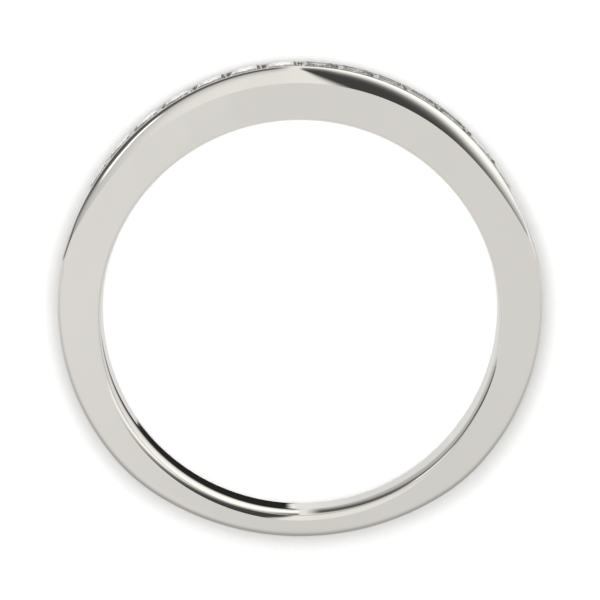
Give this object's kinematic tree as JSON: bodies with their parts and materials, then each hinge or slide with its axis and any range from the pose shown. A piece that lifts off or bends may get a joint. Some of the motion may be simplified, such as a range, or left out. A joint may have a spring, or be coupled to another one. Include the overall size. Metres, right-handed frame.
{
  "type": "channel set wedding band",
  "caption": "Polished white gold finger ring with a single row of square cut diamonds held between two channel rails, on a tapering shank with bevelled shoulders.",
  "frame": {"origin": "centre of the finger hole, half way across the band at that height", "axes": "+Z along the finger hole with the ring lying on its side, +Y towards the middle of the row of stones, +X to the right when the row is up and the +Z side is seen"},
  "size_m": [0.021, 0.0208, 0.0028],
  "materials": {
    "white_gold": "mirror polished, rhodium bright",
    "diamond": "cut and polished facets"
  },
  "bodies": {
    "root": {"band": "white_gold", "stone_01": "diamond", "stone_02": "diamond", "stone_03": "diamond", "stone_04": "diamond", "stone_05": "diamond", "stone_06": "diamond", "stone_07": "diamond", "stone_08": "diamond", "stone_09": "diamond", "stone_10": "diamond", "stone_11": "diamond", "stone_12": "diamond", "stone_13": "diamond", "stone_14": "diamond"}
  },
  "joints": []
}
